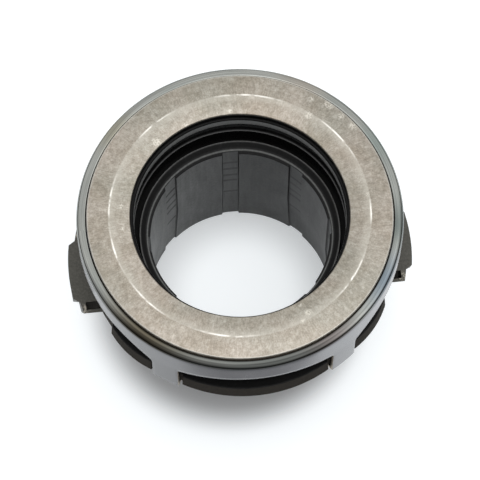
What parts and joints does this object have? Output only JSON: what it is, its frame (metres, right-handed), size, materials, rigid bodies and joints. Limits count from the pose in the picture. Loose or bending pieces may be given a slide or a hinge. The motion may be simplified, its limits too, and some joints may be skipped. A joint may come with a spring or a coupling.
{
  "type": "clutch release bearing",
  "caption": "Self-centring clutch release bearing: caged ball bearing with a flat thrust ring in a pressed steel cover, floating on a moulded guide sleeve with two fork lugs.",
  "frame": {"origin": "centre of the sleeve's lower end, on the bearing axis", "axes": "+Z along the bearing axis from the sleeve's lower end to the thrust face, +X through one fork lug, +Y completes a right-handed frame"},
  "size_m": [0.086, 0.079, 0.055],
  "materials": {
    "sleeve_plastic": "satin dark grey glass-filled nylon, slightly warm on the flange and lugs",
    "spring_steel": "dark hardened spring strip",
    "cover_steel": "pressed sheet steel with faint temper colours on the lip",
    "race_steel": "dark oiled bearing steel with a blue cast",
    "seal_rubber": "black nitrile rubber, semi-gloss on the lips",
    "cage_plastic": "natural polyamide",
    "ball_steel": "polished bearing steel",
    "thrust_steel": "fine mottled satin steel with a bright crest track"
  },
  "bodies": {
    "carrier": {"guide_sleeve": "sleeve_plastic"},
    "float_spring": {"disc_spring": "spring_steel"},
    "housing": {"cover": "cover_steel", "outer_ring": "race_steel", "bottom_seal": "seal_rubber"},
    "thrust_unit": {"thrust_ring": "thrust_steel", "inner_seal": "seal_rubber"},
    "ball_set": {"ball_cage": "cage_plastic", "ball_01": "ball_steel", "ball_02": "ball_steel", "ball_03": "ball_steel", "ball_04": "ball_steel", "ball_05": "ball_steel", "ball_06": "ball_steel", "ball_07": "ball_steel", "ball_08": "ball_steel", "ball_09": "ball_steel", "ball_10": "ball_steel", "ball_11": "ball_steel", "ball_12": "ball_steel", "ball_13": "ball_steel", "ball_14": "ball_steel", "ball_15": "ball_steel", "ball_16": "ball_steel", "ball_17": "ball_steel", "ball_18": "ball_steel", "ball_19": "ball_steel", "ball_20": "ball_steel"}
  },
  "joints": [
    {"name": "float_x", "type": "slide", "parent": "carrier", "child": "float_spring", "axis": [1, 0, 0], "range_m": [-0.0003, 0.0003]},
    {"name": "float_y", "type": "slide", "parent": "float_spring", "child": "housing", "axis": [0, 1, 0], "range_m": [-0.0003, 0.0003]},
    {"name": "ring_spin", "type": "hinge", "parent": "housing", "child": "thrust_unit", "pos_m": [0, 0, 0.0478], "axis": [0, 0, 1], "continuous": true},
    {"name": "cage_spin", "type": "hinge", "parent": "housing", "child": "ball_set", "pos_m": [0, 0, 0.0478], "axis": [0, 0, 1], "continuous": true}
  ],
  "couplings": [
    {"joint": "cage_spin", "follows": "ring_spin", "ratio": 0.45736}
  ]
}
